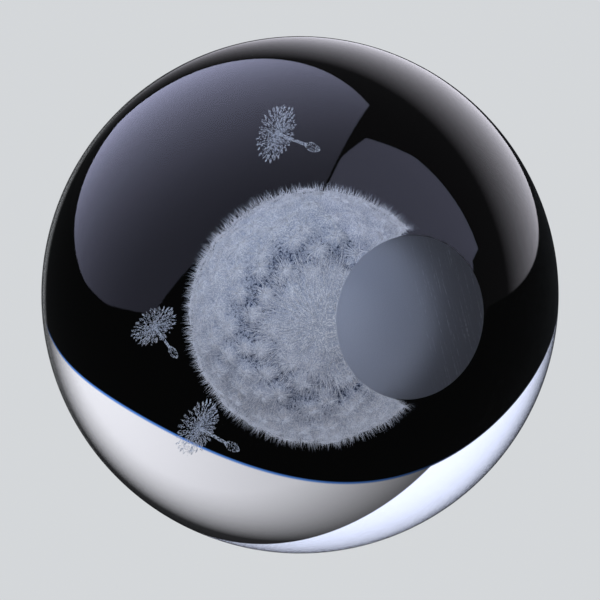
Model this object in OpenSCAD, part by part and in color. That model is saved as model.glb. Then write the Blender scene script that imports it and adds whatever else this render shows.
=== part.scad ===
/* [Crystal ball] */
// Diameter of the clear ball
ball_d = 80; // [60:1:100]
// Width of the ground flat it stands on, as a share of the ball's diameter
foot_share = 0.29; // [0.22:0.01:0.36]
// Depth of the matt ground layer
foot_layer = 0.25; // [0.15:0.05:0.5]

/* [Dandelion head] */
// Diameter over the tips of the down, as a share of the ball's diameter
head_share = 0.34; // [0.28:0.01:0.38]
// Number of seeds in the head
head_seeds = 220; // [120:10:260]
// Lean of the head's stem end away from straight down, in degrees
head_lean = 22; // [0:1:30]
// Bearing the stem end leans towards, in degrees
head_lean_bearing = 260; // [0:5:355]
// Half angle of the bare patch round the stem end, in degrees
bare_angle = 13; // [8:1:25]

/* [Drifting seeds] */
// Width of a drifting seed's umbrella, as a share of the ball's diameter
umbrella_share = 0.066; // [0.05:0.002:0.08]
// Hairs in a drifting seed's umbrella
umbrella_rays = 26; // [16:2:36]
// Lean of the drifting seeds away from hanging straight, in degrees
drift_lean = 32; // [0:1:45]

/* [Hidden] */
$fn = 96;

ball_r = ball_d / 2;
foot_r = ball_r * foot_share;
ball_centre_z = sqrt(pow(ball_r, 2) - pow(foot_r, 2));
// The matt skin stops just short of the flat's edge, which is left polished.
skin_r = foot_r - 0.15;
// Every engraved figure grows with the ball.
unit = ball_d / 80;

// The head sits a little below and beside the ball's centre.
head_r = ball_r * head_share;
head_centre = [-1.9 * unit, 0.7 * unit, ball_centre_z - 3.6 * unit];
// Successive seeds turn by the golden angle, as in a real flower head.
golden_angle = 180 * (3 - sqrt(5));
// The tufts stand at six heights, so that neighbours pass over each other without touching.
crown_levels = 6;
level_step = 0.34 * unit;
crown_plate = 0.1 * unit;
crown_r = 2.3 * unit;
crown_rays = 9;
receptacle_r = 0.21 * head_r;
achene_len = 2.1 * unit;
achene_r = 0.25 * unit;
beak_r = 0.1 * unit;

// The calyx carries the receptacle and the turned-down bracts.
calyx_r = 0.9 * unit;
calyx_len = 3.4 * unit;
bract_count = 11;
bract_len = 5.2 * unit;
bract_r = 0.36 * unit;
bract_spread = 34;

umbrella_r = ball_r * umbrella_share;
seed_beak_len = 3.4 * unit;
seed_beak_r = 0.14 * unit;
seed_achene_len = 2.0 * unit;
seed_achene_r = 0.42 * unit;

// Each drifting seed: distance from the ball's axis, bearing, height over the ball's centre,
// the bearing its fruit swings towards, and its own lean over the common one.
drift_a = [14.0 * unit, 1, 12.4 * unit, 92, -9];
drift_b = [15.2 * unit, 245, 4.2 * unit, 165, 3];
drift_c = [13.8 * unit, 185, 13.1 * unit, 132, 0];

function star(points, tip_r, waist_r) = [
    for (i = [0 : 2 * points - 1])
        let (r = i % 2 == 0 ? tip_r : waist_r, a = 180 * i / points)
            [r * cos(a), r * sin(a)]
];

// Cosine of a seed's angle from the head's crown, in equal steps so that they spread evenly.
function seed_cosine(i) = 1 - (i + 0.5) * (1 + cos(bare_angle)) / head_seeds;
function crown_height(i) = head_r - crown_plate - (i % crown_levels) * level_step;

// A parasol of fine hairs, cut as one thin plate with pointed rays.
module crown(rays, tip_r, plate) {
    linear_extrude(height = plate)
        polygon(star(rays, tip_r, 0.22 * tip_r));
}

// A spindle-shaped fruit standing on the origin, blunt below and drawn out above.
module achene(length, radius) {
    rotate_extrude()
        polygon([
            [0, 0],
            [0.35 * radius, 0],
            [radius, 0.45 * length],
            [0.9 * radius, 0.65 * length],
            [0.4 * radius, length],
            [0, length]
        ]);
}

module in_head() {
    translate(head_centre)
        rotate([0, 0, head_lean_bearing])
            rotate([0, -head_lean, 0])
                children();
}

module at_seed(i) {
    rotate([0, 0, i * golden_angle])
        rotate([0, acos(seed_cosine(i)), 0])
            children();
}

module in_drift(place) {
    translate([place[0] * cos(place[1]), place[0] * sin(place[1]), ball_centre_z + place[2]])
        rotate([0, 0, place[3]])
            rotate([0, -drift_lean - place[4], 0])
                children();
}

module crystal_ball() {
    color([0.90, 0.94, 0.97, 0.30])
        difference() {
            translate([0, 0, ball_centre_z])
                sphere(d = ball_d);
            translate([-ball_d, -ball_d, -ball_d])
                cube([2 * ball_d, 2 * ball_d, ball_d]);
            translate([0, 0, -1])
                cylinder(r = skin_r, h = 1 + foot_layer);
        }
}

module ground_foot() {
    color([0.62, 0.65, 0.68, 1])
        cylinder(r = skin_r, h = foot_layer);
}

module head_receptacle() {
    color([0.78, 0.80, 0.84, 1])
        in_head() {
            sphere(r = receptacle_r);
            translate([0, 0, -receptacle_r - calyx_len])
                cylinder(r1 = 0.7 * calyx_r, r2 = calyx_r, h = calyx_len + 0.3 * receptacle_r);
        }
}

module head_bracts() {
    color([0.80, 0.83, 0.86, 1])
        in_head()
            for (i = [0 : bract_count - 1])
                rotate([0, 0, 360 * i / bract_count])
                    translate([calyx_r + bract_r, 0, -receptacle_r])
                        rotate([0, 180 - bract_spread, 0])
                            cylinder(r1 = bract_r, r2 = 0.2 * bract_r, h = bract_len);
}

module head_achenes() {
    color([0.76, 0.79, 0.83, 1])
        in_head()
            for (i = [0 : head_seeds - 1])
                at_seed(i)
                    translate([0, 0, receptacle_r])
                        achene(achene_len, achene_r);
}

module head_beaks() {
    color([0.84, 0.87, 0.90, 1])
        in_head()
            for (i = [0 : head_seeds - 1])
                at_seed(i)
                    translate([0, 0, receptacle_r + achene_len])
                        cylinder(r = beak_r, h = crown_height(i) - receptacle_r - achene_len);
}

module head_pappus() {
    color([0.88, 0.91, 0.95, 1])
        in_head()
            for (i = [0 : head_seeds - 1])
                at_seed(i)
                    translate([0, 0, crown_height(i)])
                        crown(crown_rays, crown_r, crown_plate);
}

module drift_achene(place) {
    color([0.76, 0.79, 0.83, 1])
        in_drift(place)
            translate([0, 0, -seed_beak_len - seed_achene_len])
                achene(seed_achene_len, seed_achene_r);
}

module drift_beak(place) {
    color([0.84, 0.87, 0.90, 1])
        in_drift(place)
            translate([0, 0, -seed_beak_len])
                cylinder(r = seed_beak_r, h = seed_beak_len);
}

module drift_pappus(place) {
    color([0.88, 0.91, 0.95, 1])
        in_drift(place)
            crown(umbrella_rays, umbrella_r, crown_plate);
}

crystal_ball();
ground_foot();
head_receptacle();
head_bracts();
head_achenes();
head_beaks();
head_pappus();
drift_achene(drift_a);  // drift_a_achene
drift_beak(drift_a);  // drift_a_beak
drift_pappus(drift_a);  // drift_a_pappus
drift_achene(drift_b);  // drift_b_achene
drift_beak(drift_b);  // drift_b_beak
drift_pappus(drift_b);  // drift_b_pappus
drift_achene(drift_c);  // drift_c_achene
drift_beak(drift_c);  // drift_c_beak
drift_pappus(drift_c);  // drift_c_pappus
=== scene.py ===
"""Looks of the dandelion paperweight: a crystal ball with a seed head engraved inside it."""

import math

import bmesh
import bpy
import numpy as np
from mathutils import Matrix, Vector

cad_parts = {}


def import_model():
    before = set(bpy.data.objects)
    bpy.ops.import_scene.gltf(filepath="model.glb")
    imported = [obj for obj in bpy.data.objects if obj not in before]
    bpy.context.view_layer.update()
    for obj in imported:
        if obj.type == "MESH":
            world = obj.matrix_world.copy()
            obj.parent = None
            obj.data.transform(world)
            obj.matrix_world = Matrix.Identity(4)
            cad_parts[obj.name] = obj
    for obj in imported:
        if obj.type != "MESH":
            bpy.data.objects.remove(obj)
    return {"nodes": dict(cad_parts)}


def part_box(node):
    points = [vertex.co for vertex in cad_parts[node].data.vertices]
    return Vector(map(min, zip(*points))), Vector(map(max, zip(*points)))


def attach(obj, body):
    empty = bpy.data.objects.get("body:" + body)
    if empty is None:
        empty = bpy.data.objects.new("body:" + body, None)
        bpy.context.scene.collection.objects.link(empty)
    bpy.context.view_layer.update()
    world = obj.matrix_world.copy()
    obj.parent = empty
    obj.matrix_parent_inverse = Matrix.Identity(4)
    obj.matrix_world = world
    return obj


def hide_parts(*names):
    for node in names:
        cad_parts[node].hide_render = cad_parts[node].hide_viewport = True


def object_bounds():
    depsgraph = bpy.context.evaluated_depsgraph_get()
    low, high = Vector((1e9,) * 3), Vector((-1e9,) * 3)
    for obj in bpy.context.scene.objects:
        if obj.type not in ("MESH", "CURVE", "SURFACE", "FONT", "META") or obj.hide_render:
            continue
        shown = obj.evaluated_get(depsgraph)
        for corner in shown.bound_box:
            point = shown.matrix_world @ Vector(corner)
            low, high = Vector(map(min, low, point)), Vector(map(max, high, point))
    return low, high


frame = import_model()
cad_low, cad_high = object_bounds()

MM = 0.001
# The one source of random numbers, so that every run gives the same result.
rng = np.random.default_rng(7)


# ---------------------------------------------------------------- places, read from the CAD frame


def middle(node):
    low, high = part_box(node)
    return np.array((low + high) / 2)


def half_width(node):
    low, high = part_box(node)
    return (high.x - low.x) / 2


BALL_R = half_width("crystal_ball")
BALL_CENTRE = np.array([0, 0, cad_high.z - BALL_R])
# A millimetre of the engraving when the ball is 80 mm wide; it grows with the ball.
UNIT = BALL_R / 40
FOOT_R = math.sqrt(BALL_R**2 - BALL_CENTRE[2] ** 2)
SKIN_R = half_width("ground_foot")
HEAD_CENTRE = middle("head_achenes")
HEAD_R = half_width("head_pappus")
# Corners of the CAD mesh that lie within this angle of each other belong to one spoke.
SPOKE_ANGLE = math.radians(5)


def spoke_ends(node, centre):
    """The direction and both ends of each spoke of a CAD node whose spokes all point at centre."""
    mesh = frame["nodes"][node].data
    points = np.empty(len(mesh.vertices) * 3, np.float32)
    mesh.vertices.foreach_get("co", points)
    points = points.reshape(-1, 3) - centre
    distance = np.linalg.norm(points, axis=1)
    bearing = points / distance[:, None]
    left = np.ones(len(points), bool)
    spokes = []
    while left.any():
        first = bearing[np.argmax(left)]
        near = left & (bearing @ first > math.cos(SPOKE_ANGLE))
        axis = bearing[near].mean(axis=0)
        axis /= np.linalg.norm(axis)
        spokes.append((axis, distance[near].min(), distance[near].max()))
        left &= ~near
    return spokes


# ---------------------------------------------------------------- meshes


def unit(vectors):
    return vectors / np.linalg.norm(vectors, axis=-1, keepdims=True)


def across(along):
    """Two directions square to each of the given ones, and to each other."""
    steep = np.abs(along[..., 2:3]) > 0.9
    side = unit(np.cross(along, np.where(steep, [1.0, 0, 0], [0, 0, 1.0])))
    return side, np.cross(along, side)


class Mesh:
    """Vertices and faces collected from many small shapes, for one piece."""

    def __init__(self):
        self.points = []
        self.faces = []
        self.count = 0

    def add(self, points, faces):
        self.points.append(np.asarray(points, float))
        self.faces += [[self.count + corner for corner in face] for face in faces]
        self.count += len(points)

    def add_copies(self, points, faces):
        """Many shapes with the same faces: points holds each shape's corners in turn."""
        shapes, corners, _ = points.shape
        starts = np.arange(shapes)[:, None, None] * corners
        self.add(points.reshape(-1, 3), (np.array(faces) + starts).reshape(-1, 3).tolist())

    def piece(self, name, material, smooth=True):
        data = bpy.data.meshes.new(name)
        data.from_pydata(np.concatenate(self.points).tolist(), [], self.faces)
        data.polygons.foreach_set("use_smooth", [smooth] * len(data.polygons))
        data.materials.append(material)
        made = bpy.data.objects.new(name, data)
        bpy.context.scene.collection.objects.link(made)
        return made


def add_hairs(mesh, roots, bends, tips, radius):
    """Closed three-sided hairs: each is widest where it bends, and comes to a point at both ends."""
    side, up = across(unit(tips - roots))
    turn = rng.uniform(0, 2 * math.pi, len(roots))
    corners = []
    for corner in range(3):
        angle = (turn + corner * 2 * math.pi / 3)[:, None]
        corners.append(bends + radius * (side * np.cos(angle) + up * np.sin(angle)))
    faces = [[0, 2, 1], [0, 3, 2], [0, 1, 3], [4, 1, 2], [4, 2, 3], [4, 3, 1]]
    mesh.add_copies(np.stack([roots, *corners, tips], axis=1), faces)


def add_dots(mesh, centres, radii):
    """One small eight-sided crystal per centre, each turned its own way."""
    radii = np.broadcast_to(radii, len(centres))
    first = unit(rng.normal(size=(len(centres), 3)))
    second, third = across(first)
    axes = np.stack([first, second, third, -first, -second, -third], axis=1)
    faces = []
    for a in (0, 3):
        for b in (1, 4):
            for c in (2, 5):
                flip = (a + b + c) % 2 == 0
                faces.append([a, c, b] if flip else [a, b, c])
    mesh.add_copies(centres[:, None] + axes * radii[:, None, None], faces)


def add_rings(mesh, profile, steps):
    """A surface of revolution about Z through (radius, height) points; a radius of 0 is a pole."""
    angles = np.arange(steps) * 2 * math.pi / steps
    circle = np.stack([np.cos(angles), np.sin(angles)], axis=1)
    points = []
    starts = []
    for radius, height in profile:
        starts.append(len(points))
        if radius == 0:
            points.append((0, 0, height))
        else:
            points += [(radius * x, radius * y, height) for x, y in circle]
    faces = []
    for lower in range(len(profile) - 1):
        upper = lower + 1
        for step in range(steps):
            after = (step + 1) % steps
            a, b = starts[lower] + step, starts[lower] + after
            c, d = starts[upper] + after, starts[upper] + step
            if profile[lower][0] == 0:
                faces.append([starts[lower], c, d])
            elif profile[upper][0] == 0:
                faces.append([a, b, starts[upper]])
            else:
                faces.append([a, b, c, d])
    mesh.add(points, faces)


def disc_profile(radius, rings):
    """The profile of a flat disc at height 0, from its middle outwards, which faces down."""
    return [(radius * ring / rings, 0.0) for ring in range(rings + 1)]


# ---------------------------------------------------------------- materials

GLASS_IOR = 1.52


class Nodes:
    """A node tree with short calls for adding and wiring nodes."""

    def __init__(self, tree):
        self.tree = tree
        tree.nodes.clear()

    def add(self, kind, **settings):
        node = self.tree.nodes.new(kind)
        for name, value in settings.items():
            setattr(node, name, value)
        return node

    def wire(self, source, target):
        self.tree.links.new(source, target)

    def value(self, target, value):
        """Sets a socket to a number, or wires another socket into it."""
        if isinstance(value, bpy.types.NodeSocket):
            self.wire(value, target)
        else:
            target.default_value = value

    def math(self, operation, a, b=0.0):
        node = self.add("ShaderNodeMath", operation=operation)
        self.value(node.inputs[0], a)
        self.value(node.inputs[1], b)
        return node.outputs[0]

    def plus(self, a, b):
        return self.math("ADD", a, b)

    def minus(self, a, b):
        return self.math("SUBTRACT", a, b)

    def times(self, a, b):
        return self.math("MULTIPLY", a, b)

    def dot(self, vector, direction):
        node = self.add("ShaderNodeVectorMath", operation="DOT_PRODUCT")
        self.wire(vector, node.inputs[0])
        node.inputs[1].default_value = tuple(direction)
        return node.outputs["Value"]

    def place(self):
        """Where the shaded point is, in the object's own coordinates, which are the row frame's."""
        return self.add("ShaderNodeTexCoord").outputs["Object"]

    def distance_from(self, centre):
        node = self.add("ShaderNodeVectorMath", operation="DISTANCE")
        self.wire(self.place(), node.inputs[0])
        node.inputs[1].default_value = tuple(centre)
        return node.outputs["Value"]

    def remap(self, source, low, high, to_low=0.0, to_high=1.0, soft=True):
        """Carries low..high over to to_low..to_high, and stays at the ends outside it."""
        interpolation = "SMOOTHSTEP" if soft else "LINEAR"
        node = self.add("ShaderNodeMapRange", interpolation_type=interpolation)
        self.wire(source, node.inputs[0])
        for socket, number in zip(node.inputs[1:5], (low, high, to_low, to_high)):
            socket.default_value = number
        return node.outputs[0]

    def noise(self, size, detail=3.0, stretch=(1, 1, 1), turn=0.0):
        """Noise whose patches are about size metres wide, stretched along axes turned about Z."""
        scaled = self.add("ShaderNodeMapping", vector_type="TEXTURE")
        self.wire(self.place(), scaled.inputs["Vector"])
        scaled.inputs["Rotation"].default_value = (0, 0, turn)
        scaled.inputs["Scale"].default_value = stretch
        texture = self.add("ShaderNodeTexNoise")
        self.wire(scaled.outputs[0], texture.inputs["Vector"])
        texture.inputs["Scale"].default_value = 1 / size
        texture.inputs["Detail"].default_value = detail
        return texture.outputs[0]

    def ramp(self, source, stops):
        node = self.add("ShaderNodeValToRGB")
        self.wire(source, node.inputs[0])
        elements = node.color_ramp.elements
        while len(elements) < len(stops):
            elements.new(0.5)
        for element, (at, colour) in zip(elements, stops):
            element.position = at
            element.color = (*colour, 1)
        return node.outputs["Color"]

    def bump(self, height, strength, distance):
        node = self.add("ShaderNodeBump")
        self.wire(height, node.inputs["Height"])
        node.inputs["Strength"].default_value = strength
        node.inputs["Distance"].default_value = distance
        return node.outputs[0]

    def clear(self, share=1.0):
        """A shader that lets this share of the light straight through."""
        node = self.add("ShaderNodeBsdfTransparent")
        node.inputs["Color"].default_value = (share, share, share, 1)
        return node.outputs[0]

    def choose(self, share, otherwise, chosen):
        """Mixes two shaders: all of the chosen one where share is 1."""
        mix = self.add("ShaderNodeMixShader")
        self.wire(share, mix.inputs[0])
        self.wire(otherwise, mix.inputs[1])
        self.wire(chosen, mix.inputs[2])
        return mix.outputs[0]

    def surface(self, shader):
        self.wire(shader, self.add("ShaderNodeOutputMaterial").inputs["Surface"])


def new_material(name):
    material = bpy.data.materials.new(name)
    material.use_nodes = True
    return material, Nodes(material.node_tree)


def lit_inside(nodes, shader, share):
    """Lamps light what is inside the ball: a shadow ray passes the surface with this share left."""
    is_shadow = nodes.add("ShaderNodeLightPath").outputs["Is Shadow Ray"]
    nodes.surface(nodes.choose(is_shadow, shader, nodes.clear(share)))


def crystal():
    """Polished optical crystal, with handling marks too faint to see except in a highlight."""
    material, nodes = new_material("crystal")
    glass = nodes.add("ShaderNodeBsdfPrincipled")
    glass.inputs["Base Color"].default_value = (0.985, 0.992, 1, 1)
    glass.inputs["Transmission Weight"].default_value = 1
    glass.inputs["IOR"].default_value = GLASS_IOR
    smears = nodes.noise(18 * MM, detail=5)
    nodes.wire(nodes.remap(smears, 0.45, 0.8, 0.0, 0.012), glass.inputs["Roughness"])
    lit_inside(nodes, glass.outputs[0], 0.92)
    return material


# The ground foot is scored along this bearing.
SCORE_BEARING = math.radians(-29)


def ground_glass():
    """The ground flat: matt, and towards one side finely scored, darker by painted shade and a
    little smoother.
    """
    material, nodes = new_material("ground_glass")
    glass = nodes.add("ShaderNodeBsdfPrincipled")
    glass.inputs["Transmission Weight"].default_value = 0.93
    glass.inputs["IOR"].default_value = GLASS_IOR
    lines = nodes.noise(0.25 * MM, detail=4, stretch=(30, 1, 1), turn=SCORE_BEARING)
    dashes = nodes.noise(0.3 * MM, detail=2, stretch=(2, 1, 1), turn=SCORE_BEARING)
    scores = nodes.times(nodes.remap(lines, 0.54, 0.68), nodes.remap(dashes, 0.4, 0.6))
    towards_scored = nodes.dot(nodes.place(), (0.4, 0.9, 0))
    scored = nodes.remap(towards_scored, -0.2 * FOOT_R, 0.9 * FOOT_R)
    # Painted shade: the colour darkens towards one side of the flat, in place of the light falling
    # off across it.
    towards_painted_shade = nodes.dot(nodes.place(), (0.2, 0.9, 0))
    darker = nodes.remap(towards_painted_shade, -0.9 * FOOT_R, 0.2 * FOOT_R, 0.0, 0.16)
    grain = nodes.times(nodes.noise(0.12 * MM, detail=2), 0.5)
    tone = nodes.plus(nodes.minus(grain, darker), nodes.times(scores, scored))
    colour = nodes.ramp(tone, [
        (0.0, (0.28, 0.31, 0.38)),
        (0.35, (0.50, 0.55, 0.66)),
        (1.0, (0.74, 0.80, 0.90)),
    ])
    nodes.wire(colour, glass.inputs["Base Color"])
    nodes.wire(nodes.remap(tone, 0.1, 1.0, 0.50, 0.60), glass.inputs["Roughness"])
    nodes.wire(nodes.bump(tone, 0.5, 0.03 * MM), glass.inputs["Normal"])
    lit_inside(nodes, glass.outputs[0], 0.45)
    return material


def engraving(name):
    """White fractures in the crystal: the material, its nodes, and the socket for their colour."""
    material, nodes = new_material(name)
    white = nodes.add("ShaderNodeBsdfPrincipled")
    white.inputs["Roughness"].default_value = 0.7
    white.inputs["IOR"].default_value = 1.2
    nodes.surface(white.outputs[0])
    return material, nodes, white.inputs["Base Color"]


def engraved_down():
    """The head's down: bright near its surface, darker and bluer deep in by painted shade, and
    darker and bluer at the very tips.
    """
    material, nodes, colour = engraving("engraved_down")
    # Painted shade: the deeper the down lies, in the gaps between tufts and under the hairs, the
    # darker and bluer its colour, in place of shadow.
    depth_painted_shade = nodes.remap(nodes.distance_from(HEAD_CENTRE), 0.84 * HEAD_R, 1.06 * HEAD_R, soft=False)
    speckle = nodes.remap(nodes.noise(0.15 * MM, detail=2), 0.3, 0.7, -0.16, 0.16)
    # In the gaps, dark flecks of bare crystal are left between the hairs.
    flecks = nodes.remap(nodes.noise(0.3 * MM, detail=1), 0.56, 0.66, 0.0, 0.4)
    gaps = nodes.remap(depth_painted_shade, 0.30, 0.48, 1.0, 0.0)
    tone = nodes.minus(nodes.plus(depth_painted_shade, speckle), nodes.times(flecks, gaps))
    nodes.wire(nodes.ramp(tone, [
        (0.0, (0.01, 0.02, 0.05)),
        (0.16, (0.09, 0.11, 0.17)),
        (0.29, (0.20, 0.23, 0.31)),
        (0.46, (0.30, 0.33, 0.41)),
        (0.61, (0.48, 0.50, 0.57)),
        (0.80, (0.45, 0.50, 0.61)),
        (1.0, (0.24, 0.29, 0.42)),
    ]), colour)
    return material


def engraved_seed():
    """The dots of seeds and stalks, some brighter than others."""
    material, nodes, colour = engraving("engraved_seed")
    speckle = nodes.noise(0.2 * MM, detail=2)
    nodes.wire(nodes.ramp(speckle, [
        (0.35, (0.30, 0.35, 0.46)),
        (0.65, (0.60, 0.66, 0.78)),
    ]), colour)
    return material


CRYSTAL = crystal()
GROUND_GLASS = ground_glass()
DOWN = engraved_down()
SEED = engraved_seed()


# ---------------------------------------------------------------- the ball and its ground foot

ROUND_STEPS = 256
BALL_RINGS = 128
FOOT_RINGS = 24


def glass_ball():
    """The polished surface, from the edge of the matt disc round to the top."""
    foot_angle = math.pi - math.asin(FOOT_R / BALL_R)
    profile = [(SKIN_R, 0.0), (FOOT_R, 0.0)]
    for ring in range(1, BALL_RINGS):
        angle = foot_angle * (1 - ring / BALL_RINGS)
        profile.append((BALL_R * math.sin(angle), BALL_CENTRE[2] + BALL_R * math.cos(angle)))
    profile.append((0, BALL_CENTRE[2] + BALL_R))
    mesh = Mesh()
    add_rings(mesh, profile, ROUND_STEPS)
    ball = mesh.piece("glass_ball", CRYSTAL)
    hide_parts("crystal_ball")
    return ball


def frosted_foot():
    """The matt disc that closes the ball below."""
    mesh = Mesh()
    add_rings(mesh, disc_profile(SKIN_R, FOOT_RINGS), ROUND_STEPS)
    disc = mesh.piece("frosted_foot", GROUND_GLASS)
    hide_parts("ground_foot")
    return disc


# ---------------------------------------------------------------- the seed head

# The dense down is a globe this many times subdivided, roughened by grains of this size.
GLOBE_DETAIL = 6
GRAIN = 0.05 * UNIT
# How far things reach, as shares of HEAD_R.
GLOBE_SHARE = 0.95
HUB_SHARES = (0.958, 0.982)
FRINGE_SHARE = 0.955
COMBED_ROOT_SHARE = 0.94
COMBED_TIP_SHARES = (0.945, 0.985)
# How much deeper the down lies, also as shares of HEAD_R: in every gap between tufts, in the
# deeper patches, in the belt round the stem end, and at the stem end itself.
GAP_DEPTH = 0.01
PATCH_DEPTH = 0.02
BELT_DEPTH = 0.05
STEM_DEPTH = 0.012
# A tuft spreads over the first of these angles; the down crowns under it over the second.
TUFT_ANGLE = 0.185
CROWN_ANGLE = 0.085
# Round the stem end the hairs lie flat and fan out, as far as this.
COMBED_ANGLE = math.radians(32)
# The gaps between tufts are deepest in a belt at this angle from the stem end.
BELT_ANGLE = math.radians(40)
BELT_WIDTH = math.radians(12)
# Directions of three slow waves over the head; the longer, the closer the wave's crests.
WAVES = np.array([[5.1, 2.3, -3.7], [-2.9, 6.1, 4.3], [3.3, -4.7, 5.9]])
HUB_SCATTER = 0.03
TUFT_HAIRS = 80
FRINGE_HAIRS = 20000
COMBED_HAIRS = 2600
HUB_R = 0.12 * UNIT
HAIR_R = 0.026 * UNIT
FRINGE_R = 0.017 * UNIT
FRINGE_LENGTH = 1.45 * UNIT
STALK_R = 0.07 * UNIT
HEAD_FRUIT_R = 0.22 * UNIT
HEAD_FRUIT_DOTS = 7


def angles_from(directions, axis):
    return np.arccos(np.clip(directions @ axis, -1, 1))


def combed(directions, stem):
    """1 at the stem end, falling to 0 where the standing tufts begin."""
    share = np.clip(1.3 * (1 - angles_from(directions, stem) / COMBED_ANGLE), 0, 1)
    return share**2 * (3 - 2 * share)


def patchy(directions):
    """Slow waves over the head, 0 to 1: the gaps between tufts are deeper in some places."""
    return 0.5 + np.sin(directions @ WAVES.T).sum(axis=1) / 6


def down_radius(directions, hubs, stem):
    """How far the dense down reaches each way: it crowns at every hub and is smooth at the stem."""
    nearest = angles_from(directions, hubs.T).min(axis=1)
    crown = np.exp(-((nearest / CROWN_ANGLE) ** 2))
    belt = np.exp(-(((angles_from(directions, stem) - BELT_ANGLE) / BELT_WIDTH) ** 2))
    depth = GAP_DEPTH + PATCH_DEPTH * patchy(directions) + BELT_DEPTH * belt
    flat = combed(directions, stem)
    return HEAD_R * (GLOBE_SHARE - depth * (1 - crown) * (1 - flat) - STEM_DEPTH * flat)


def add_globe(mesh, hubs, stem):
    """The dense down as one closed lumpy surface."""
    ball = bmesh.new()
    bmesh.ops.create_icosphere(ball, subdivisions=GLOBE_DETAIL, radius=1)
    directions = unit(np.array([vert.co[:] for vert in ball.verts]))
    faces = [[vert.index for vert in face.verts] for face in ball.faces]
    ball.free()
    grains = rng.normal(size=len(directions)) * GRAIN
    reach = down_radius(directions, hubs, stem) + grains
    mesh.add(HEAD_CENTRE + directions * reach[:, None], faces)


def ring_of(axis, count):
    """Directions all round the given one and square to it, at random."""
    side, up = (v[0] for v in across(axis[None]))
    turn = rng.uniform(0, 2 * math.pi, count)[:, None]
    return side * np.cos(turn) + up * np.sin(turn)


def add_head_hairs(mesh, roots, bends, tips, radius):
    """Hairs whose points are given from the head's centre."""
    add_hairs(mesh, HEAD_CENTRE + roots, HEAD_CENTRE + bends, HEAD_CENTRE + tips, radius)


def add_tuft(mesh, hub, hub_r):
    """Hairs that spread from a seed's hub like the ribs of a parasol."""
    out = ring_of(hub, TUFT_HAIRS)
    widest = TUFT_ANGLE * rng.uniform(0.75, 1.15)
    spread = widest * (rng.uniform(0.02, 1, TUFT_HAIRS) ** 0.7)[:, None]
    # No two hairs lie at one height, and the outer ones droop.
    lift = rng.normal(size=(TUFT_HAIRS, 1)) * 0.012
    tip_r = hub_r + HEAD_R * (0.008 + lift - 0.03 * (spread / widest) ** 2)
    tips = tip_r * unit(hub + out * spread)
    roots = hub_r * hub + out * HUB_R
    bend_at = rng.uniform(0.3, 0.7, TUFT_HAIRS)[:, None]
    bends = roots + (tips - roots) * bend_at + hub * 0.07 * UNIT
    add_head_hairs(mesh, roots, bends, tips, HAIR_R)


def add_fringe(mesh, hubs, stem):
    """Short hairs that stand out all over the down, but not at the stem end."""
    directions = unit(rng.normal(size=(FRINGE_HAIRS, 3)))
    directions = directions[rng.uniform(0, 1, FRINGE_HAIRS) > 1.5 * combed(directions, stem)]
    count = len(directions)
    base = down_radius(directions, hubs, stem)
    reach = HEAD_R * FRINGE_SHARE + FRINGE_LENGTH * rng.uniform(0.0, 1.0, count) ** 1.4
    tips = reach[:, None] * unit(directions + rng.normal(size=(count, 3)) * 0.028)
    roots = directions * (base - 0.1 * UNIT)[:, None]
    bends = roots + (tips - roots) * 0.55
    add_head_hairs(mesh, roots, bends, tips, FRINGE_R)


def add_combed_hairs(mesh, stem):
    """Strands that lie on the down, and fan out from the stem end in a loose whorl."""
    out = ring_of(stem, COMBED_HAIRS)
    start = COMBED_ANGLE * np.sqrt(rng.uniform(0.0, 1.2, COMBED_HAIRS))[:, None]
    length = rng.uniform(0.06, 0.2, COMBED_HAIRS)[:, None]
    astray = rng.normal(size=(COMBED_HAIRS, 3)) * 0.22
    root_ways = unit(stem + out * np.tan(start))
    tip_ways = unit(root_ways + (out + astray) * length)
    lift = rng.uniform(*COMBED_TIP_SHARES, COMBED_HAIRS)[:, None]
    roots = HEAD_R * COMBED_ROOT_SHARE * root_ways
    tips = HEAD_R * lift * tip_ways
    bends = (roots + tips) / 2 + stem * 0.06 * UNIT
    radii = HAIR_R * rng.uniform(0.6, 2.0, (COMBED_HAIRS, 1))
    add_head_hairs(mesh, roots, bends, tips, radii)


def hubs_and_stem(spokes):
    """The direction of every seed's hub from the head's centre, and that of the stem end."""
    axes = np.array([axis for axis, _, _ in spokes])
    # A real head isn't as regular as its spirals.
    hubs = unit(axes + rng.normal(size=axes.shape) * HUB_SCATTER)
    return hubs, unit(-axes.mean(axis=0))


def down_piece(mesh, name):
    down = mesh.piece(name, DOWN)
    # Every dot of a real engraving is lit through the clear crystal between the others.
    down.visible_shadow = False
    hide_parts("head_pappus")
    return down


def head_down(hubs, stem):
    """The dense down, and the tufts that stand on it."""
    mesh = Mesh()
    add_globe(mesh, hubs, stem)
    for hub in hubs:
        if rng.uniform() > combed(hub[None], stem)[0]:
            add_tuft(mesh, hub, HEAD_R * rng.uniform(*HUB_SHARES))
    return down_piece(mesh, "head_down")


def head_fringe(hubs, stem):
    """The loose hairs over the tufts and round the stem end."""
    mesh = Mesh()
    add_fringe(mesh, hubs, stem)
    add_combed_hairs(mesh, stem)
    return down_piece(mesh, "head_fringe")


def head_stalks(spokes):
    """One stalk per seed, from its fruit out into the down."""
    mesh = Mesh()
    inner = np.array([axis * low for axis, low, _ in spokes])
    outer = np.array([axis * 0.9 * HEAD_R for axis, _, _ in spokes])
    add_head_hairs(mesh, inner, (inner + outer) / 2, outer, STALK_R)
    stalks = mesh.piece("head_stalks", SEED)
    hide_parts("head_beaks")
    return stalks


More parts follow.
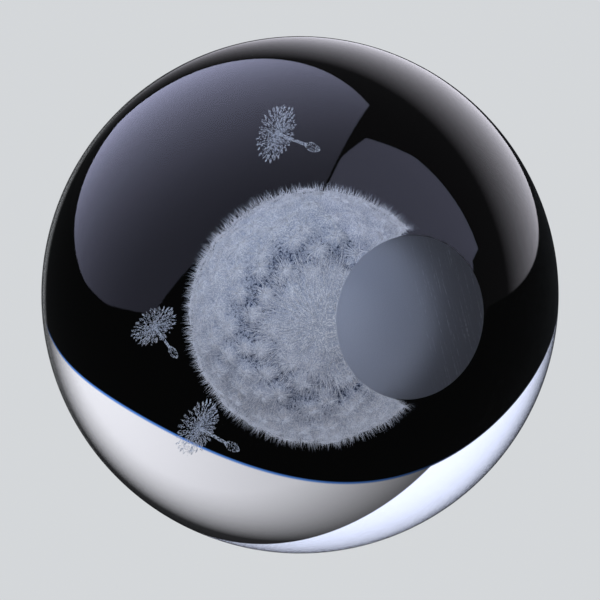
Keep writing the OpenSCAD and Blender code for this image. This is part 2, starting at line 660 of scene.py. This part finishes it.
def head_fruits(spokes):
    """One dotted spindle per seed, between the receptacle and its stalk."""
    mesh = Mesh()
    receptacle_r = half_width("head_receptacle")
    along = np.linspace(0, 1, HEAD_FRUIT_DOTS)
    width = HEAD_FRUIT_R * np.sin(math.pi * (0.12 + 0.85 * along))
    for axis, inner, _ in spokes:
        reach = receptacle_r + along * (inner - receptacle_r)
        add_dots(mesh, HEAD_CENTRE + axis * reach[:, None], width)
    fruits = mesh.piece("head_fruits", SEED, smooth=False)
    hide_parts("head_achenes")
    return fruits


# ---------------------------------------------------------------- the drifting seeds

# As large as the CAD umbrellas and fruits.
UMBRELLA_R = 2.64 * UNIT
DRIFT_FRUIT_R = 0.42 * UNIT
DRIFT_FRUIT_LENGTH = 2.0 * UNIT
DRIFT_STALK_R = 0.12 * UNIT
UMBRELLA_RAYS = 28
UMBRELLA_RISE = 0.12
UMBRELLA_HUB_R = 0.14 * UNIT
# A plume is this wide at its ends, and swells by this much more between them.
PLUME_R = 0.04 * UNIT
PLUME_SWELL = 0.15 * UNIT
PLUME_STROKES = 44
STROKE_LENGTHS = (0.08 * UNIT, 0.18 * UNIT)
HUB_DOTS = 70
DRIFT_STALK_DOTS = 260
DRIFT_FRUIT_DOTS = 150
DOT_R = 0.035 * UNIT


def seed_frame(name):
    """A drifting seed's hub, the middle of its fruit, and the direction from fruit to hub."""
    hub = middle(f"{name}_pappus")
    fruit = middle(f"{name}_achene")
    return hub, fruit, unit(hub - fruit)


def drifting_umbrella(name):
    """A shallow parasol of plumes, each a narrow lobe of short strokes with a rounded end."""
    hub, _, axis = seed_frame(name)
    side, up = (v[0] for v in across(axis[None]))
    mesh = Mesh()
    for ray in range(UMBRELLA_RAYS):
        angle = 2 * math.pi * (ray + rng.uniform(-0.15, 0.15)) / UMBRELLA_RAYS
        out = side * math.cos(angle) + up * math.sin(angle)
        beside = up * math.cos(angle) - side * math.sin(angle)
        reach = UMBRELLA_R * rng.uniform(0.9, 1.04)
        along = rng.uniform(0.05, 1, PLUME_STROKES) ** 0.8
        lobe = PLUME_R + PLUME_SWELL * np.sin(math.pi * along**2.2) ** 0.5
        sideways = rng.uniform(-1, 1, PLUME_STROKES) * lobe
        rise = UMBRELLA_RISE * along**2 + rng.uniform(-0.03, 0.03, PLUME_STROKES)
        spine = hub + reach * (out * along[:, None] + axis * rise[:, None])
        middles = spine + beside * sideways[:, None]
        astray = rng.normal(size=(PLUME_STROKES, 3)) * 0.3
        stroke = unit(out + astray) * rng.uniform(*STROKE_LENGTHS, PLUME_STROKES)[:, None]
        add_hairs(mesh, middles - stroke, middles, middles + stroke, 0.8 * DOT_R)
    add_dots(mesh, hub + rng.normal(size=(HUB_DOTS, 3)) * UMBRELLA_HUB_R, 1.2 * DOT_R)
    umbrella = mesh.piece(f"{name}_umbrella", SEED, smooth=False)
    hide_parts(f"{name}_pappus")
    return umbrella


def add_dotted_skin(mesh, start, axis, length, radius, count):
    """Dots over a round skin along an axis; radius is a function of the share of the length."""
    along = rng.uniform(0, 1, count)
    radii = np.broadcast_to(radius(along), count)
    out = ring_of(axis, count) * radii[:, None]
    add_dots(mesh, start + axis * (along * length)[:, None] + out, DOT_R)


def drifting_stalk(name):
    """A fine tube drawn in dots, from the hub to the fruit."""
    hub, _, axis = seed_frame(name)
    low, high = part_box(f"{name}_beak")
    length = (high - low).length
    mesh = Mesh()
    add_dotted_skin(mesh, hub, -axis, length, lambda along: DRIFT_STALK_R, DRIFT_STALK_DOTS)
    stalk = mesh.piece(f"{name}_stalk", SEED, smooth=False)
    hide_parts(f"{name}_beak")
    return stalk


def spindle_radius(along):
    return DRIFT_FRUIT_R * np.sin(math.pi * along) ** 0.7


def drifting_fruit(name):
    """A hollow spindle drawn in dots."""
    _, fruit, axis = seed_frame(name)
    start = fruit - axis * DRIFT_FRUIT_LENGTH / 2
    mesh = Mesh()
    add_dotted_skin(mesh, start, axis, DRIFT_FRUIT_LENGTH, spindle_radius, DRIFT_FRUIT_DOTS)
    spindle = mesh.piece(f"{name}_fruit", SEED, smooth=False)
    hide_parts(f"{name}_achene")
    return spindle


# ---------------------------------------------------------------- assembly

spokes = spoke_ends("head_beaks", HEAD_CENTRE)
hubs, stem = hubs_and_stem(spokes)
engraved = [head_down(hubs, stem), head_fringe(hubs, stem)]
engraved += [head_stalks(spokes), head_fruits(spokes)]
for name in ("drift_a", "drift_b", "drift_c"):
    engraved += [drifting_umbrella(name), drifting_stalk(name), drifting_fruit(name)]
for piece in [glass_ball(), frosted_foot()] + engraved:
    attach(piece, "root")
kept = [frame["nodes"][node] for node in ("head_receptacle", "head_bracts")]
for node in kept:
    node.data.materials[0] = SEED
# The polished surface shows hardly a trace of the engraving in its own inside reflections.
for piece in engraved + kept:
    piece.visible_glossy = False


# ---------------------------------------------------------------- camera

# The photograph's viewing angle and framing.
DISTANCE = 8 * BALL_R
ELEVATION = math.radians(-65.7)
ROLL = math.radians(78.4)
LENS = 123.2
SHIFT_Y = -0.0086


def camera():
    """Looks up at the ball from below, so that the ground foot faces the lens."""
    ahead = Vector((0, math.cos(ELEVATION), -math.sin(ELEVATION)))
    level = Vector((1, 0, 0))
    above = level.cross(ahead)
    right = level * math.cos(ROLL) - above * math.sin(ROLL)
    up = level * math.sin(ROLL) + above * math.cos(ROLL)
    data = bpy.data.cameras.new("camera")
    data.sensor_width = 36
    data.lens = LENS
    data.shift_y = SHIFT_Y
    data.clip_start = 0.01
    made = bpy.data.objects.new("camera", data)
    place = Vector(BALL_CENTRE) - ahead * DISTANCE
    turn = Matrix((right, up, -ahead)).transposed().to_4x4()
    made.matrix_world = Matrix.Translation(place) @ turn
    bpy.context.scene.collection.objects.link(made)
    bpy.context.scene.camera = made
    return right, up, ahead


RIGHT, UP, AHEAD = camera()


def from_camera(right, up, ahead):
    """A direction given as the photograph's camera sees it, in the row frame."""
    return (RIGHT * right + UP * up + AHEAD * ahead).normalized()


# ---------------------------------------------------------------- studio

FLOOR_R = 1.2
FLOOR_PATCH = 0.08
FLOOR_RINGS = 12
FLOOR_STEPS = 64
# Corners of the two softboxes, as directions from the ball that the camera sees.
BIG_BOX = (
    (-0.95, 0.06, 0.30),
    (-1.0, -0.05, 0.03),
    (-0.90, -0.12, -0.41),
    (0.15, 0.70, -0.70),
    (0.34, 0.93, 0.13),
    (-0.43, 0.41, 0.80),
)
SMALL_BOX = (
    (0.38, 0.90, -0.21),
    (0.26, 0.86, -0.44),
    (0.13, 0.63, -0.77),
    (0.60, 0.0, -0.80),
    (0.90, -0.02, -0.44),
    (0.97, 0.25, -0.07),
    (0.64, 0.76, -0.12),
)
BOX_EDGE = 0.006
# The wave in the lower edge of the wall seen through the ball, measured in cosines.
EDGE_WAVE_START = 0.08
EDGE_WAVE_LENGTH = 1.5
EDGE_WAVE_HEIGHT = 0.06
# Colours of light.
WHITE = (1.0, 1.0, 1.0)
COOL = (0.90, 0.95, 1.0)
WARM = (1.0, 0.94, 0.90)
PALE = (0.66, 0.68, 0.70)
PANEL_TINT = (1.0, 1.04, 1.52)
WALL_TINT = (1.0, 0.98, 1.10)
ROOM_TINT = (0.9, 1.0, 1.1)
FAR_WALL_TINT = (1.0, 1.0, 1.07)
CRESCENT_TINT = (0.93, 1.0, 1.26)
FLOOR_TINT = (0.97, 1.0, 1.04)
BLUE_EDGE_TINT = (0.10, 0.28, 0.80)


def floor():
    """A pale floor, seen only from above, which fades into the backdrop."""
    material, nodes = new_material("floor")
    matt = nodes.add("ShaderNodeBsdfPrincipled")
    matt.inputs["Roughness"].default_value = 0.9
    colour = nodes.ramp(nodes.noise(FLOOR_PATCH), [
        (0.3, (0.66, 0.67, 0.68)),
        (0.7, (0.70, 0.71, 0.72)),
    ])
    nodes.wire(colour, matt.inputs["Base Color"])
    fade = nodes.remap(nodes.distance_from((0, 0, 0)), 0.25 * FLOOR_R, 0.95 * FLOOR_R)
    below = nodes.add("ShaderNodeNewGeometry").outputs["Backfacing"]
    gone = nodes.math("MAXIMUM", fade, below)
    nodes.surface(nodes.choose(gone, matt.outputs[0], nodes.clear()))
    mesh = Mesh()
    # From the rim inwards, so that the floor faces up.
    add_rings(mesh, disc_profile(FLOOR_R, FLOOR_RINGS)[::-1], FLOOR_STEPS)
    made = mesh.piece("floor", material)
    made.visible_glossy = False
    made.visible_transmission = False
    made.visible_shadow = False


def lamp(name, direction, distance, size, watts, colour):
    """A soft square lamp that shines on the ball and isn't itself seen."""
    data = bpy.data.lights.new(name, "AREA")
    data.size = size
    data.energy = watts
    data.color = colour
    made = bpy.data.objects.new(name, data)
    made.location = Vector(BALL_CENTRE) + direction * distance
    made.rotation_mode = "QUATERNION"
    made.rotation_quaternion = direction.to_track_quat("Z", "Y")
    made.visible_camera = False
    made.visible_glossy = False
    made.visible_transmission = False
    bpy.context.scene.collection.objects.link(made)


class Studio(Nodes):
    """The world's nodes: light that depends only on the direction from which it comes."""

    def __init__(self, tree):
        super().__init__(tree)
        self.direction = self.add("ShaderNodeTexCoord").outputs["Generated"]

    def towards(self, *seen):
        """The cosine of the angle to a direction, given as the photograph's camera sees it."""
        return self.dot(self.direction, from_camera(*seen))

    def panel(self, seen_corners):
        """1 where a direction points into the flat panel with these corners, 0 elsewhere."""
        corners = [from_camera(*corner) for corner in seen_corners]
        inside = sum(corners, Vector())
        sides = []
        for first, second in zip(corners, corners[1:] + corners[:1]):
            plane = first.cross(second).normalized()
            plane = plane if plane.dot(inside) > 0 else -plane
            sides.append(self.remap(self.dot(self.direction, plane), -BOX_EDGE, BOX_EDGE))
        share = sides[0]
        for side in sides[1:]:
            share = self.times(share, side)
        return share

    def light(self, strength, colour):
        node = self.add("ShaderNodeBackground")
        node.inputs["Color"].default_value = (*colour, 1)
        self.value(node.inputs["Strength"], strength)
        return node.outputs[0]

    def both(self, first, second):
        node = self.add("ShaderNodeAddShader")
        self.wire(first, node.inputs[0])
        self.wire(second, node.inputs[1])
        return node.outputs[0]


def mirrored_studio(studio):
    """What the polished surface mirrors: two softboxes, and a far wall that is brightest ahead."""
    towards_lamp = studio.remap(studio.towards(-0.26, 0.77, 0.58), 0.0, 1.0, soft=False)
    gathered = studio.math("POWER", towards_lamp, 2.2)
    big_glow = studio.remap(gathered, 0.0, 1.0, 0.32, 1.4, soft=False)
    big_box = studio.times(studio.panel(BIG_BOX), big_glow)
    small_box = studio.times(studio.panel(SMALL_BOX), 0.78)
    boxes = studio.light(studio.plus(big_box, small_box), PANEL_TINT)
    fading = studio.remap(studio.towards(0.43, 0.11, 0.90), 0.6, 1.0, 0.03, 1.45, soft=False)
    above = studio.remap(studio.towards(0.06, 0.96, -0.26), 0.0, 0.012)
    inward = studio.remap(studio.towards(1, 0, 0), -0.35, 0.1, 0.12, 1.0)
    wall = studio.light(studio.times(studio.times(fading, above), inward), WALL_TINT)
    room = studio.light(0.012, ROOM_TINT)
    return studio.both(boxes, studio.both(wall, room))


def bent_studio(studio):
    """What shows through the ball: a wall, the big softbox beyond its end, and the floor with a
    painted shadow.
    """
    # The wall's lower edge isn't straight: it sags on the right and rises on the left.
    sideways = studio.towards(1, 0, 0)
    past_start = studio.minus(sideways, EDGE_WAVE_START)
    wave = studio.math("SINE", studio.times(past_start, 2 * math.pi / EDGE_WAVE_LENGTH))
    height = studio.plus(studio.towards(0.07, 0.87, -0.48), studio.times(wave, EDGE_WAVE_HEIGHT))
    lit = studio.remap(height, 0.0, 0.01)
    ahead = studio.remap(studio.towards(0.33, 0.07, 0.94), 0.54, 0.85, 0.04, 1.0, soft=False)
    wall = studio.times(ahead, studio.remap(sideways, -0.4, 0.75, 0.28, 1.1, soft=False))
    past_end = studio.towards(-0.70, 0.36, -0.61)
    beyond = studio.remap(past_end, -0.005, 0.005)
    crescent = studio.light(studio.remap(past_end, 0.35, 0.85, 1.25, 0.25), CRESCENT_TINT)
    seen = studio.choose(beyond, studio.light(wall, FAR_WALL_TINT), crescent)
    seen = studio.choose(lit, studio.light(0.001, WHITE), seen)
    # Blue light is bent a little further, so the wall has a thin blue edge.
    blue_edge = studio.minus(studio.remap(height, -0.008, -0.001), lit)
    seen = studio.both(studio.light(studio.times(blue_edge, wall), BLUE_EDGE_TINT), seen)
    # Painted shadow: the floor seen through the ball is darker the more straight down one looks, as
    # under the ball.
    downward = studio.dot(studio.direction, (0, 0, -1))
    floor_with_painted_shadow = studio.remap(downward, 0.1, 1.0, 0.52, 0.34, soft=False)
    below = studio.remap(downward, 0.06, 0.2)
    return studio.choose(below, seen, studio.light(floor_with_painted_shadow, FLOOR_TINT))


def world():
    """A pale backdrop for the eye; the polished ball mirrors and bends a darker studio."""
    made = bpy.data.worlds.new("studio")
    made.use_nodes = True
    made.cycles.sampling_method = "NONE"
    studio = Studio(made.node_tree)
    path = studio.add("ShaderNodeLightPath")
    is_bent = path.outputs["Is Transmission Ray"]
    is_mirrored = studio.times(path.outputs["Is Glossy Ray"], studio.minus(1.0, is_bent))
    # Light that was mirrored inside the ball before it left comes from a dark room.
    inside_mirrored = studio.math("MINIMUM", path.outputs["Glossy Depth"], 1.0)
    bent = studio.choose(inside_mirrored, bent_studio(studio), studio.light(0.004, WHITE))
    # What is neither seen nor mirrored nor bent is the soft light on matt surfaces.
    around = studio.light(0.35, WHITE)
    seen = studio.choose(path.outputs["Is Camera Ray"], around, studio.light(1.0, PALE))
    seen = studio.choose(is_mirrored, seen, mirrored_studio(studio))
    seen = studio.choose(is_bent, seen, bent)
    studio.wire(seen, studio.add("ShaderNodeOutputWorld").inputs["Surface"])
    bpy.context.scene.world = made


def lamps():
    """Four soft lamps: two on the photographed side, one overhead and one behind."""
    lamp("key", from_camera(-0.4, 0.6, -0.67), 1.0, 0.5, 9.8, COOL)
    lamp("fill", from_camera(-0.2, -0.7, -0.6), 0.8, 0.5, 2.7, WARM)
    lamp("top", Vector((0.2, -0.2, 1)).normalized(), 0.9, 0.6, 6.0, WHITE)
    lamp("back", Vector((-0.5, 0.8, 0.4)).normalized(), 0.9, 0.6, 5.0, WHITE)


floor()
world()
lamps()

scene = bpy.context.scene
scene.view_settings.view_transform = "Standard"
scene.cycles.max_bounces = 16
scene.cycles.transmission_bounces = 12
scene.cycles.transparent_max_bounces = 12
scene.cycles.sample_clamp_indirect = 4.0
